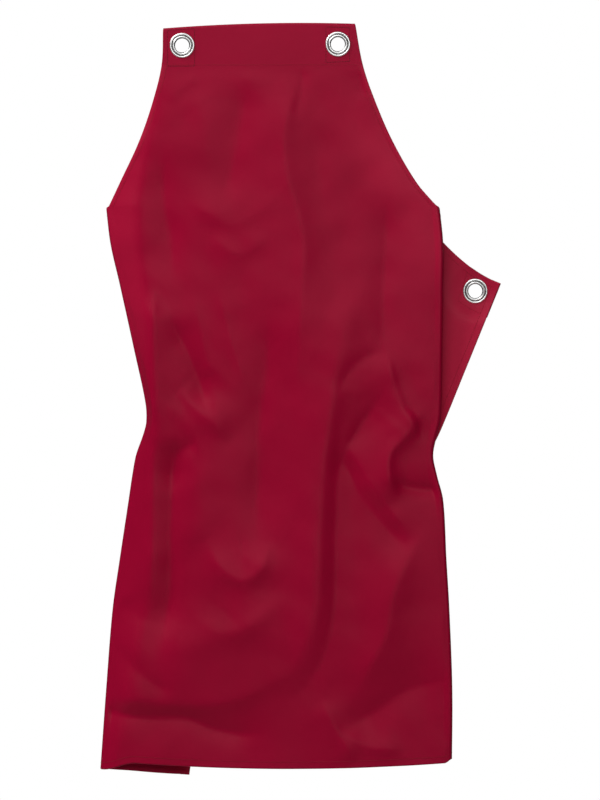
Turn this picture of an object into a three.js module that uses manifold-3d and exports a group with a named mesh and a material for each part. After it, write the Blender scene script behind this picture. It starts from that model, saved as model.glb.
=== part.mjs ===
// Bib apron body for interchangeable straps, hanging by the two eyelets at the top of its bib.
// One cloth panel makes bib and skirt. Its sides turn behind the front, and on the right the corner
// folds out again as a wing. A facing and two corner patches back the four metal eyelets.
// Millimetres, +Z up, front towards -Y. The origin is midway between the two bib eyelets.

import * as THREE from "three";
import { mergeVertices } from "three/addons/utils/BufferGeometryUtils.js";
import Module from "manifold-3d";

const wasm = await Module();
wasm.setup();
const { clamp, lerp, smoothstep, degToRad } = THREE.MathUtils;

// Cloth
const CLOTH = 1.2; // wall of one layer
const GAP = 0.3; // air between two layers, and between cloth and metal
const HEM_WIDTH = 10; // edge turned under at the skirt's sides and bottom
const HEM_STEP = 1.5; // where the turned edge ends
const HEM_TURN = 0.9; // extra wall of the turned edge
const BIB_HEM = 7; // narrower hem along the bib's curved edges

// Heights
const BIB_TOP = 25; // top edge of the bib, at its middle
const BAND_FOOT = -26; // lower edge of the facing band behind the bib's top
const BAND_BLEND = 50; // the bib takes on its drape over this much below the band
const FOLD_TOP = -193; // where the sides start to turn behind
const HEM = -869; // lowest point of the front's hem
const CORNER_DROP = 56; // side corner of the cut, below FOLD_TOP

// Ends of the cut: the top edge is a little lower at the left, and the hem is lowest at its middle
// and dips again at the left fold.
const TOP_EDGE = { tilt: 0.024, sag: 0.00024 };
const HEM_EDGE = { middle: 36, curve: 0.000196 };
const HEM_CORNERS = { leftDip: 11.5, leftWidth: 42, rightRise: 4, rightWidth: 8 };

// Side turns and flaps
const TURN_RADIUS = 5; // left and right silhouette folds
const PLEAT_RADIUS = 5; // hidden fold that brings the wing out again
const PLEAT_AT_TOP = 13.5; // right silhouette to hidden fold, at FOLD_TOP
const PLEAT_SLANT = 0.19; // how much deeper the pleat gets per unit of height
const PLEAT_MOST = 79; // longest straight run between the two folds
const PLEAT_OPENS = { from: -480, to: -720 }; // the hidden fold opens between these heights
const RIGHT_FLAP = 137.5; // cloth beyond the right silhouette, along the cloth
const RIGHT_STRIP = { width: 9, lean: degToRad(30) }; // leaning strip beside the right silhouette
const FLAP_DRIFT = 0.04; // how much the left flap falls away from the front along its length
const SHOULDER_BLEND = 7; // softness of the bend between the front and its leaning sides
const CENTRE_BULGE = 8; // how far the front's middle stands proud of its sides

// Eyelets: radii, then heights from the cloth's outer face along the eyelet's axis
const EYELET_SIDES = 18;
const HOLE = 8.5;
const BARREL = 9.2;
const LIP = 11.2;
const RING = 10.2;
const GROOVE = 11.9;
const LAND = { inner: 13, outer: 14.3 };
const FLANGE = 15;
const RING_HEIGHT = 2;
const LAND_HEIGHT = 1.5;
const GROOVE_HEIGHT = 0.9;
const LIP_WALL = 0.8;
const WASHER_BORE = 9.6;
const WASHER_WALL = 0.9;
const CLOTH_HOLE = 9.6;
const HOLE_TURN = degToRad(1); // keeps the holes' corners off the panel's grid lines
const SEAT = { flat: 42, blend: 30 }; // flat cloth round the left side eyelet
const BIB_EYELETS = [
  { name: "bib_left", x: -93.5, z: -1 },
  { name: "bib_right", x: 93.5, z: 0.5 },
];
const SIDE_INSET = { fromSide: 24, belowCorner: 18.7 };

// Cut edges of the bib. Outside the shoulder line the left edge leans back, by lean in degrees.
const BIB_EDGES = [
  { z: 25, left: -116, right: 114, shoulder: -112, lean: 0 },
  { z: -26, left: -118, right: 123.5, shoulder: -114, lean: 0 },
  { z: -73, left: -130, right: 140, shoulder: -121, lean: 20 },
  { z: -118, left: -146, right: 160, shoulder: -134, lean: 30 },
  { z: -166, left: -169, right: 188, shoulder: -143, lean: 36 },
  { z: -193, left: -182, right: 211, shoulder: -148, lean: 38 },
];

// Silhouette folds below the bib. The left flap is flap long and rises along its rows by tilt degrees.
const SIDE_FOLDS = [
  { z: -193, left: -185.5, right: 215, shoulder: -148, lean: 38, flap: 140, tilt: 13 },
  { z: -238, left: -180, right: 219.5, shoulder: -146, lean: 38, flap: 142, tilt: 12 },
  { z: -286, left: -169, right: 219.5, shoulder: -140, lean: 40, flap: 145, tilt: 9 },
  { z: -367, left: -151, right: 218.5, shoulder: -132, lean: 46, flap: 155, tilt: 5 },
  { z: -430, left: -137.5, right: 217.5, shoulder: -130, lean: 58, flap: 164, tilt: 2 },
  { z: -453, left: -136.5, right: 216, shoulder: -129, lean: 60, flap: 166, tilt: 1 },
  { z: -469, left: -140.5, right: 212, shoulder: -129, lean: 56, flap: 164, tilt: 0 },
  { z: -493, left: -149, right: 207.5, shoulder: -130, lean: 48, flap: 158, tilt: 0 },
  { z: -517, left: -153.5, right: 212, shoulder: -130, lean: 44, flap: 154, tilt: -1 },
  { z: -547, left: -158, right: 219.5, shoulder: -131, lean: 42, flap: 150, tilt: -1 },
  { z: -619, left: -169, right: 223.5, shoulder: -132, lean: 38, flap: 140, tilt: -2 },
  { z: -679, left: -177.5, right: 227, shoulder: -138, lean: 36, flap: 132, tilt: -3 },
  { z: -775, left: -185, right: 230.5, shoulder: -160, lean: 40, flap: 120, tilt: -4 },
  { z: -869, left: -191.5, right: 230, shoulder: -178, lean: 44, flap: 113, tilt: -4.5 },
];

// Drape of the front: each row is a ridge (rise above 0) or a valley on an arc through three points,
// [x, z] each. left and right are the widths of its flanks, seen along the way from start to end.
const FOLDS = [
  { name: "bib_centre_valley", arc: [46, -40, 38, -130, 56, -330], left: 26, right: 16, rise: -7 },
  { name: "bib_left_valley", arc: [-22, -50, -46, -110, -74, -160], left: 22, right: 16, rise: -7 },
  { name: "bib_swag", arc: [-70, -186, -32, -212, 8, -180], left: 26, right: 16, rise: 6 },
  { name: "chest_ridge", arc: [146, -228, 112, -350, 82, -470], left: 12, right: 44, rise: 11 },
  { name: "long_ridge", arc: [82, -470, 74, -600, 48, -730], left: 10, right: 44, rise: 12 },
  { name: "sweep_ridge", arc: [48, -730, -40, -800, -186, -806], left: 9, right: 40, rise: 10 },
  { name: "waist_left_valley", arc: [-112, -330, -104, -450, -116, -690], left: 20, right: 14, rise: -10 },
  { name: "middle_left_valley", arc: [2, -290, -14, -450, -20, -590], left: 20, right: 22, rise: -8 },
  { name: "swag_ridge", arc: [-56, -620, -22, -656, 10, -600], left: 30, right: 12, rise: 8 },
  { name: "waist_right_crease", arc: [186, -480, 150, -500, 108, -488], left: 16, right: 12, rise: -8 },
  { name: "hip_right_ridge", arc: [108, -500, 150, -560, 214, -560], left: 26, right: 14, rise: 9 },
  { name: "thigh_right_valley", arc: [212, -600, 160, -730, 100, -812], left: 24, right: 24, rise: -9 },
  { name: "hem_left_crease", arc: [-182, -822, -110, -826, -40, -836], left: 9, right: 12, rise: -8 },
];
const FOLD_STEPS = 12; // straight steps along each arc, to which a point's distance is measured
const FOLD_MARGIN = 26; // folds fade out this near the front's sides

// Grid of the panel: numbers of cells, without the narrow ones of the hems
const CELLS = { band: 4, bib: 7, skirt: 27, front: 21, turn: 4, flap: 7, pleat: 3, valley: 4, wing: 5 };
const PATCH = { rows: 2, columns: 4 }; // corner patches, in cells from the corner

// A column of a table as a smooth function of height: cubic pieces, and each row's slope is
// the difference across its two neighbours.
function column(table, name) {
  const z = table.map((row) => row.z);
  const value = table.map((row) => row[name]);
  const last = z.length - 1;
  const slope = z.map((_, i) => {
    const above = Math.max(0, i - 1);
    const below = Math.min(last, i + 1);
    return (value[below] - value[above]) / (z[below] - z[above]);
  });
  return (height) => {
    const found = z.findIndex((limit, i) => i > 0 && height >= limit);
    const i = found < 0 ? last - 1 : found - 1;
    const step = z[i + 1] - z[i];
    const t = clamp((height - z[i]) / step, 0, 1);
    const s = 1 - t;
    return (
      value[i] * s * s * (1 + 2 * t) +
      value[i + 1] * t * t * (1 + 2 * s) +
      step * (slope[i] * s * s * t - slope[i + 1] * s * t * t)
    );
  };
}

const columns = (table, names) => Object.fromEntries(names.map((name) => [name, column(table, name)]));
const bib = columns(BIB_EDGES, ["left", "right", "shoulder", "lean"]);
const side = columns(SIDE_FOLDS, ["left", "right", "shoulder", "lean", "flap", "tilt"]);

// The front's two ends at a height. Below FOLD_TOP they are where the silhouette turns begin.
function frontSpan(z) {
  const table = z >= FOLD_TOP ? bib : side;
  const span = { left: table.left(z), right: table.right(z), shoulder: table.shoulder(z) };
  span.lean = degToRad(table.lean(z));
  if (z < FOLD_TOP) {
    span.left += TURN_RADIUS * (1 - Math.sin(span.lean));
    span.right -= TURN_RADIUS * (1 - Math.sin(RIGHT_STRIP.lean));
  }
  return span;
}

const folds = FOLDS.map(({ arc: [x0, z0, xm, zm, x1, z1], left, right, rise }) => {
  const bend = new THREE.Vector2(2 * xm - (x0 + x1) / 2, 2 * zm - (z0 + z1) / 2);
  const curve = new THREE.QuadraticBezierCurve(new THREE.Vector2(x0, z0), bend, new THREE.Vector2(x1, z1));
  return { points: curve.getPoints(FOLD_STEPS), left, right, rise };
});

// Rise of one fold at a point: a bell across its arc that dies out towards both ends.
function foldRise(fold, x, z) {
  let nearest = { distance: Infinity };
  for (let i = 0; i < FOLD_STEPS; i += 1) {
    const from = fold.points[i];
    const along = fold.points[i + 1].clone().sub(from);
    const off = new THREE.Vector2(x, z).sub(from);
    const t = clamp(off.dot(along) / along.lengthSq(), 0, 1);
    off.addScaledVector(along, -t);
    const distance = off.length();
    if (distance < nearest.distance) {
      nearest = { distance, share: (i + t) / FOLD_STEPS, onLeft: along.cross(off) > 0 };
    }
  }
  const width = nearest.onLeft ? fold.left : fold.right;
  const taper = 1 - (2 * nearest.share - 1) ** 4;
  return fold.rise * taper * Math.exp(-((nearest.distance / width) ** 2));
}

// Nothing well inside a bend, and the plain distance well past it.
const hinge = (distance) => (distance + Math.hypot(distance, SHOULDER_BLEND)) / 2;

// Depth of the front at a point: its leaning sides, less the bulge and the folds.
function frontDepth(x, z) {
  const span = frontSpan(z);
  const drape = smoothstep(BAND_FOOT - z, 0, BAND_BLEND);
  const middle = (2 * x - span.left - span.right) / (span.right - span.left);
  const inside = smoothstep(Math.min(x - span.left, span.right - x), 0, FOLD_MARGIN);
  const rise = folds.reduce((sum, fold) => sum + foldRise(fold, x, z), 0);
  const leftLean = Math.tan(span.lean) * hinge(span.shoulder - x);
  const rightLean = Math.tan(RIGHT_STRIP.lean) * hinge(x - span.right + RIGHT_STRIP.width);
  return drape * (leftLean + rightLean - CENTRE_BULGE * (1 - middle ** 2) - inside * rise);
}

const frontPoint = (x, z) => new THREE.Vector3(x, frontDepth(x, z), z);

// Left flap: round the silhouette fold, then along the back of the front.
const leftArc = (z) => TURN_RADIUS * (Math.PI - frontSpan(z).lean);

function leftPoint(distance, z) {
  const { left, lean } = frontSpan(z);
  const arc = leftArc(z);
  const turned = lean + Math.min(distance, arc) / TURN_RADIUS;
  const past = Math.max(0, distance - arc);
  const tilt = degToRad(side.tilt(z));
  return frontPoint(left, z).add(
    new THREE.Vector3(
      past * Math.cos(tilt) - TURN_RADIUS * (Math.sin(turned) - Math.sin(lean)),
      past * FLAP_DRIFT + TURN_RADIUS * (Math.cos(lean) - Math.cos(turned)),
      past * Math.sin(tilt),
    ),
  );
}

// Right flap: round the silhouette fold, behind the front to the slanting hidden fold, and from
// there out again as the wing. Further down the hidden fold opens and the flap hangs behind.
const VALLEY_AXIS = new THREE.Vector3(-PLEAT_SLANT, 0, -1).normalize();
const INWARDS = new THREE.Vector3(-1, 0, 0);
const VALLEY_ALONG = VALLEY_AXIS.clone().multiplyScalar(VALLEY_AXIS.dot(INWARDS));
const VALLEY_ACROSS = INWARDS.clone().sub(VALLEY_ALONG);
const VALLEY_BACK = VALLEY_AXIS.clone().cross(INWARDS);
const VALLEY_ARC = Math.PI * PLEAT_RADIUS;
const RIGHT_ARC = TURN_RADIUS * (Math.PI - RIGHT_STRIP.lean);
const pleatSlack = PLEAT_MOST - PLEAT_AT_TOP + TURN_RADIUS + PLEAT_RADIUS;
const pleatRun = (z) => PLEAT_MOST - hinge(pleatSlack - PLEAT_SLANT * (FOLD_TOP - z));
const valleyOpen = (z) => smoothstep(-z, -PLEAT_OPENS.from, -PLEAT_OPENS.to);

function rightPoint(distance, z) {
  const { lean } = RIGHT_STRIP;
  const turned = lean + Math.min(distance, RIGHT_ARC) / TURN_RADIUS;
  const point = frontPoint(frontSpan(z).right, z);
  point.x += TURN_RADIUS * (Math.sin(turned) - Math.sin(lean));
  point.y += TURN_RADIUS * (Math.cos(lean) - Math.cos(turned));
  point.addScaledVector(INWARDS, clamp(distance - RIGHT_ARC, 0, pleatRun(z)));
  const past = Math.max(0, distance - RIGHT_ARC - pleatRun(z));
  const bend = (Math.PI * Math.max(1e-3, 1 - valleyOpen(z))) / VALLEY_ARC;
  const angle = bend * Math.min(past, VALLEY_ARC);
  const straight = Math.max(0, past - VALLEY_ARC);
  point.addScaledVector(VALLEY_ALONG, past);
  point.addScaledVector(VALLEY_ACROSS, Math.sin(angle) / bend + straight * Math.cos(angle));
  return point.addScaledVector(VALLEY_BACK, (1 - Math.cos(angle)) / bend + straight * Math.sin(angle));
}

// Ends of the cut. Along the flaps the bib's curve goes on dropping to the side corners.
const topEdge = (x) => BIB_TOP + TOP_EDGE.tilt * x - TOP_EDGE.sag * x * x;
const cornerDrop = (share) => CORNER_DROP * (1 - (1 - share) ** 2);

function hemEdge(x) {
  const { leftDip, leftWidth, rightRise, rightWidth } = HEM_CORNERS;
  const dip = leftDip * smoothstep(side.left(HEM) + leftWidth - x, 0, leftWidth);
  const rise = rightRise * smoothstep(x - side.right(HEM) + rightWidth, 0, rightWidth);
  return HEM + HEM_EDGE.curve * (x - HEM_EDGE.middle) ** 2 - dip + rise;
}

// Steps along a length: equal ones, and at the hem's end its narrow ones.
function steps(length, count, hem) {
  const plain = hem ? length - HEM_WIDTH - HEM_STEP : length;
  const list = Array.from({ length: count + 1 }, (_, i) => (plain * i) / count);
  return hem ? [...list, length - HEM_WIDTH, length] : list;
}

const HEM_CELLS = 2;
const LEFT = CELLS.turn + CELLS.flap + HEM_CELLS;
const RIGHT = CELLS.turn + CELLS.pleat + CELLS.valley + CELLS.wing + HEM_CELLS;
const FRONT = CELLS.front + HEM_CELLS;
const BIB_ROWS = CELLS.band + CELLS.bib;
const ROWS = BIB_ROWS + CELLS.skirt + HEM_CELLS;
const COLUMNS = LEFT + FRONT + RIGHT;
const SKIRT_SHARES = steps(FOLD_TOP - HEM, CELLS.skirt, true).map((length) => length / (FOLD_TOP - HEM));

// Grid column of the front, as a distance from its left end.
function frontStep(index, width) {
  if (index === 0 || index === FRONT) return index === 0 ? 0 : width;
  return BIB_HEM + steps(width - 2 * BIB_HEM, CELLS.front)[index - 1];
}

// Grid column of a flap, as a distance along the cloth from the front's end.
function leftStep(index, z) {
  const arc = leftArc(z);
  const turn = steps(arc, CELLS.turn);
  return [...turn, ...steps(side.flap(z) - arc, CELLS.flap, true).slice(1).map((d) => arc + d)][index];
}

function rightStep(index, z) {
  const zones = [
    steps(RIGHT_ARC, CELLS.turn),
    steps(pleatRun(z), CELLS.pleat),
    steps(VALLEY_ARC, CELLS.valley),
    steps(RIGHT_FLAP - RIGHT_ARC - pleatRun(z) - VALLEY_ARC, CELLS.wing, true),
  ];
  const list = zones.reduce((done, zone) => [...done, ...zone.slice(1).map((d) => done.at(-1) + d)], [0]);
  return list[index];
}

// Middle surface of the panel at a grid row and column; undefined where the bib is cut away.
function panelPoint(row, index) {
  const onLeft = LEFT - index;
  const onRight = index - LEFT - FRONT;
  const skirt = SKIRT_SHARES[row - BIB_ROWS] ?? 0;
  const level = lerp(FOLD_TOP, HEM, skirt);
  if (row < BIB_ROWS && Math.max(onLeft, onRight) > 0) return undefined;
  if (onLeft > 0) {
    const drop = cornerDrop(leftStep(onLeft, level) / side.flap(level));
    const z = lerp(FOLD_TOP - drop, hemEdge(side.left(HEM)), skirt);
    return flatten(leftPoint(leftStep(onLeft, z), z));
  }
  if (onRight > 0) {
    const drop = cornerDrop(rightStep(onRight, level) / RIGHT_FLAP);
    const z = lerp(FOLD_TOP - drop, hemEdge(side.right(HEM)), skirt);
    return rightPoint(rightStep(onRight, z), z);
  }
  const bibLevel = lerp(BAND_FOOT, FOLD_TOP, Math.max(0, row - CELLS.band) / CELLS.bib);
  const span = frontSpan(row < BIB_ROWS ? bibLevel : level);
  let x = span.left + frontStep(index - LEFT, span.right - span.left);
  if (row >= BIB_ROWS) return frontPoint(x, lerp(FOLD_TOP, hemEdge(x), skirt));
  if (row >= CELLS.band) return frontPoint(x, bibLevel);
  const band = row / CELLS.band;
  const height = lerp(BIB_TOP, BAND_FOOT, band);
  const bandSpan = frontSpan(height);
  x = bandSpan.left + frontStep(index - LEFT, bandSpan.right - bandSpan.left);
  return frontPoint(x, lerp(topEdge(x), BAND_FOOT, band));
}

// Seats of the eyelets: a point of the cloth's middle surface and the way its outer face looks.
function seat(name, point, distance, z) {
  const reach = 1;
  const along = point(distance + reach, z).sub(point(distance - reach, z));
  const up = point(distance, z + reach).sub(point(distance, z - reach));
  return { name, at: point(distance, z), normal: along.cross(up).normalize() };
}

const sideLevel = FOLD_TOP - CORNER_DROP - SIDE_INSET.belowCorner;
const rightSeat = seat("side_right", rightPoint, RIGHT_FLAP - SIDE_INSET.fromSide, sideLevel);
const leftSeat = seat("side_left", leftPoint, side.flap(sideLevel) - SIDE_INSET.fromSide, sideLevel);
leftSeat.normal.negate();
const bibSeats = BIB_EYELETS.map(({ name, x, z }) => seat(name, frontPoint, x, z));

// The left flap lies flat round its eyelet.
function flatten(point) {
  const off = point.clone().sub(leftSeat.at);
  const share = 1 - smoothstep(off.length(), SEAT.flat, SEAT.flat + SEAT.blend);
  return point.addScaledVector(leftSeat.normal, -share * off.dot(leftSeat.normal));
}

const grid = Array.from({ length: ROWS + 1 }, (_, row) =>
  Array.from({ length: COLUMNS + 1 }, (_, index) => panelPoint(row, index)),
);

// Outer side of the cloth at a grid point, from its neighbours.
function gridNormal(row, index) {
  const at = (r, c) => grid[r]?.[c] ?? grid[row][index];
  const across = at(row, index + 1).clone().sub(at(row, index - 1));
  const down = at(row + 1, index).clone().sub(at(row - 1, index));
  return down.cross(across).normalize();
}

// Closed wall over the grid cells from one row and column to another. outer and inner give how far
// its two faces stand from the middle surface, positive towards the outside.
function wall(rows, indices, outer, inner) {
  const cells = new Set();
  for (let row = rows[0]; row < rows[1]; row += 1) {
    for (let index = indices[0]; index < indices[1]; index += 1) {
      if (grid[row][index] && grid[row][index + 1]) cells.add(`${row} ${index}`);
    }
  }
  const positions = [];
  const known = new Map();
  const vertex = (row, index, face) => {
    const key = `${row} ${index} ${face === outer}`;
    if (!known.has(key)) {
      known.set(key, positions.length / 3);
      const point = grid[row][index].clone();
      positions.push(...point.addScaledVector(gridNormal(row, index), face(row, index)));
    }
    return known.get(key);
  };
  const triangles = [];
  const quad = (a, b, c, d) => triangles.push(a, b, c, a, c, d);
  for (const cell of cells) {
    const [r, c] = cell.split(" ").map(Number);
    const ring = [[r, c], [r + 1, c], [r + 1, c + 1], [r, c + 1]];
    const beside = [[r, c - 1], [r + 1, c], [r, c + 1], [r - 1, c]];
    quad(...ring.map(([row, index]) => vertex(row, index, outer)));
    const [first, ...others] = ring;
    quad(...[first, ...others.reverse()].map(([row, index]) => vertex(row, index, inner)));
    beside.forEach(([row, index], k) => {
      if (cells.has(`${row} ${index}`)) return;
      const [from, to] = [ring[k], ring[(k + 1) % ring.length]];
      quad(vertex(...to, outer), vertex(...from, outer), vertex(...from, inner), vertex(...to, inner));
    });
  }
  const geometry = new THREE.BufferGeometry();
  geometry.setAttribute("position", new THREE.Float32BufferAttribute(positions, 3));
  geometry.setIndex(triangles);
  return geometry;
}

function solid(geometry) {
  const bare = geometry.clone();
  bare.deleteAttribute("normal");
  bare.deleteAttribute("uv");
  const merged = mergeVertices(bare, 1e-4);
  const vertProperties = new Float32Array(merged.getAttribute("position").array);
  return new wasm.Manifold(new wasm.Mesh({ numProp: 3, vertProperties, triVerts: merged.index.array }));
}

// Puts a turned piece, whose axis is Y, on a seat: its Y points out of the cloth.
function onSeat(geometry, { at, normal }) {
  const turn = new THREE.Quaternion().setFromUnitVectors(new THREE.Vector3(0, 1, 0), normal);
  return geometry.applyQuaternion(turn).translate(...at);
}

// A wall with a round hole at each of the given seats.
function pierced(geometry, seats) {
  const length = 12 * CLOTH;
  const punch = [CLOTH_HOLE, CLOTH_HOLE, length, EYELET_SIDES, 1, false, HOLE_TURN];
  const holes = seats.map((at) => solid(onSeat(new THREE.CylinderGeometry(...punch), at)));
  const mesh = holes.reduce((body, hole) => body.subtract(hole), solid(geometry)).getMesh();
  const cut = new THREE.BufferGeometry();
  cut.setAttribute("position", new THREE.Float32BufferAttribute(mesh.vertProperties, mesh.numProp));
  cut.setIndex(Array.from(mesh.triVerts));
  return cut;
}

// Wall faces, from the panel's middle surface: the panel with its turned edges, and the layer behind it.
const patchRow = BIB_ROWS + PATCH.rows;
const onPatch = (row, index) =>
  row <= patchRow && (index <= PATCH.columns || index >= COLUMNS - PATCH.columns);
const inHem = (row, index) =>
  row >= ROWS - 1 || (row > BIB_ROWS && (index <= 1 || index >= COLUMNS - 1));
const panelOuter = () => CLOTH / 2;
const panelInner = (row, index) => -CLOTH / 2 - (inHem(row, index) && !onPatch(row, index) ? HEM_TURN : 0);
const backOuter = () => -CLOTH / 2 - GAP;
const backInner = () => -CLOTH / 2 - GAP - CLOTH;

// Eyelet and washer profiles, from the panel's middle surface along the eyelet's axis
const FACE = CLOTH / 2;
const BACK = backInner() - GAP;
const ROLL = BACK - WASHER_WALL - GAP;
const EYELET_PROFILE = [
  [HOLE, FACE + GROOVE_HEIGHT],
  [BARREL, FACE + RING_HEIGHT - GAP],
  [RING, FACE + RING_HEIGHT],
  [LIP, FACE + LAND_HEIGHT],
  [GROOVE, FACE + GROOVE_HEIGHT],
  [LAND.inner, FACE + LAND_HEIGHT],
  [LAND.outer, FACE + LAND_HEIGHT],
  [FLANGE, FACE + GROOVE_HEIGHT],
  [FLANGE, FACE + GAP],
  [BARREL, FACE + GAP],
  [BARREL, ROLL],
  [LIP, ROLL],
  [RING, ROLL - LIP_WALL],
  [HOLE, ROLL - LIP_WALL / 2],
];
const WASHER_PROFILE = [
  [WASHER_BORE, BACK],
  [FLANGE, BACK],
  [FLANGE, BACK - WASHER_WALL / 2],
  [FLANGE - WASHER_WALL, BACK - WASHER_WALL],
  [WASHER_BORE, BACK - WASHER_WALL],
];

function turned(profile) {
  const ring = [...profile, profile[0]].map(([radius, height]) => new THREE.Vector2(radius, height));
  return new THREE.LatheGeometry(ring.reverse(), EYELET_SIDES);
}

const cloth = new THREE.MeshStandardMaterial({ name: "cloth", color: 0x8a162c, roughness: 0.85 });
const metal = new THREE.MeshStandardMaterial({ name: "metal", color: 0xc8c8c6, metalness: 1, roughness: 0.25 });
const apron = new THREE.Group();
apron.name = "apron";

function add(name, geometry, material) {
  const mesh = new THREE.Mesh(geometry, material);
  mesh.name = name;
  apron.add(mesh);
}

const seats = [...bibSeats, leftSeat, rightSeat];
const frontColumns = [LEFT, LEFT + FRONT];
const patchRows = [BIB_ROWS, patchRow];
const leftPatch = wall(patchRows, [0, PATCH.columns], backOuter, backInner);
const rightPatch = wall(patchRows, [COLUMNS - PATCH.columns, COLUMNS], backOuter, backInner);
add("panel", pierced(wall([0, ROWS], [0, COLUMNS], panelOuter, panelInner), seats), cloth);
add("bib_facing", pierced(wall([0, CELLS.band], frontColumns, backOuter, backInner), bibSeats), cloth);
add("side_patch_left", pierced(leftPatch, [leftSeat]), cloth);
add("side_patch_right", pierced(rightPatch, [rightSeat]), cloth);
for (const at of seats) {
  add(`eyelet_${at.name}`, onSeat(turned(EYELET_PROFILE), at), metal);
  add(`washer_${at.name}`, onSeat(turned(WASHER_PROFILE), at), metal);
}

export default apron;
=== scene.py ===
"""Bib apron body for interchangeable straps: draped cloth, stitching and metal on the CAD frame.

Lengths are worked out in millimetres, front towards -Y, and become metres in add_mesh().
"""

import math

import bpy
import numpy as np
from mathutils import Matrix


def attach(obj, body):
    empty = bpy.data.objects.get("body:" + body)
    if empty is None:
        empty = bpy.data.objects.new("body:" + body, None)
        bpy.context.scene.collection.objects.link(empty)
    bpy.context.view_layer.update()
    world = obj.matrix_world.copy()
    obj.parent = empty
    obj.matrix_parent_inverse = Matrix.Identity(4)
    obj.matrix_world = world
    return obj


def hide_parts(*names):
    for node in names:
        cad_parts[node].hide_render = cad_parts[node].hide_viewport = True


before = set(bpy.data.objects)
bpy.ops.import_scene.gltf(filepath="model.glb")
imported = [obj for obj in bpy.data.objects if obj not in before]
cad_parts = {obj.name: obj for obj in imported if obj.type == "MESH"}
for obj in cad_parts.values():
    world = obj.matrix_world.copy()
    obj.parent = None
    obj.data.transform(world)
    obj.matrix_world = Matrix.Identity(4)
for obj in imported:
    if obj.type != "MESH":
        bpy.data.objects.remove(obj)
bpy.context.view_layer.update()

MM = 0.001
TINY = 1e-9  # least length to divide by

# Cloth
CLOTH = 1.2
GAP = 0.3
HEM_WIDTH = 10.0
BIB_HEM = 7.0
HEM_TURN = 0.9
STITCH_SHARE = 0.8  # seam line, as a share of the hem's width from the edge
EDGE_ROUND = 0.4
FAR = 9.0  # hem share of cloth that is far from every edge

# Heights and ends of the cut
BIB_TOP, BAND_FOOT, BAND_BLEND, FOLD_BLEND = 25.0, -26.0, 50.0, 18.0
FOLD_TOP, HEM, CORNER_DROP = -193.0, -869.0, 56.0
TOP_TILT, TOP_SAG = 0.024, 0.00024
HEM_MIDDLE, HEM_CURVE = 36.0, 0.000196
LEFT_DIP, LEFT_DIP_WIDTH, RIGHT_RISE, RIGHT_RISE_WIDTH = 11.5, 42.0, 4.0, 8.0

# Side turns and flaps
TURN_RADIUS = 5.0
PLEAT_RADIUS = 5.0
PLEAT_AT_TOP, PLEAT_SLANT, PLEAT_MOST = 13.5, 0.19, 79.0
PLEAT_OPENS = (-480.0, -720.0)
RIGHT_FLAP = 137.5
STRIP_WIDTH, STRIP_LEAN, STRIP_SLOPE = 9.0, math.radians(30), math.radians(4)
FLAP_DRIFT = 0.04
SHOULDER_BLEND = 7.0
CENTRE_BULGE = 1.0
SEAT_FLAT, SEAT_BLEND = 42.0, 30.0
FLAP_RISE, FLAP_WAVE, FLAP_DRAG, FLAP_GROWS = 6.0, 88.0, 130.0, 40.0
FOLD_MARGIN = 8.0
WING_LIFT, WING_FLAT, WING_CURL, WING_POWER = 13.0, 15.0, 40.0, 1.5
WING_ENDS = (430.0, 560.0)
LEAST_BEND = 1e-3  # share of its half turn that the hidden fold keeps where it opens

# Paler cloth: painted light over the wing's free part and two places on the front, and along free edges
# edge wear with a painted highlight; each front place with its share, the distances off the shoulder or the
# right end that it is blended over, and the depths where it begins and ends
EDGE_HIGHLIGHT_AND_WEAR, EDGE_HIGHLIGHT_AND_WEAR_WIDTH, WING_PAINTED_LIGHT = 0.6, 1.3, 48.0
STRIP_PAINTED_LIGHT = (0.4, (-6, 10), (90, 190), (310, 420))
CHEST_PAINTED_LIGHT = (0.6, (-80, -20), (60, 120), (230, 300))

# Cut edges of the bib
BIB_COLUMNS = ("z", "left", "right", "shoulder", "lean")
BIB_EDGES = (
    (25, -116, 114, -112, 0),
    (-26, -118, 123.5, -114, 0),
    (-73, -130, 140, -121, 20),
    (-118, -146, 160, -134, 30),
    (-166, -169, 188, -143, 36),
    (-193, -182, 211, -148, 38),
)

# Silhouette folds below the bib, and the left flap's length and rise along its rows
SIDE_COLUMNS = ("z", "left", "right", "shoulder", "lean", "flap", "tilt")
SIDE_FOLDS = (
    (-193, -185.5, 215, -148, 38, 140, 13),
    (-238, -180, 219.5, -146, 38, 142, 12),
    (-286, -169, 219.5, -140, 40, 145, 9),
    (-367, -151, 218.5, -132, 46, 155, 5),
    (-430, -137.5, 217.5, -130, 58, 164, 2),
    (-453, -136.5, 216, -129, 60, 166, 1),
    (-469, -140.5, 212, -129, 56, 164, 0),
    (-493, -149, 207.5, -130, 48, 158, 0),
    (-517, -153.5, 212, -130, 44, 154, -1),
    (-547, -158, 219.5, -131, 42, 150, -1),
    (-619, -169, 223.5, -132, 38, 140, -2),
    (-679, -177.5, 227, -138, 36, 132, -3),
    (-775, -185, 230.5, -160, 40, 120, -4),
    (-869, -191.5, 230, -178, 44, 113, -4.5),
)

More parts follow.
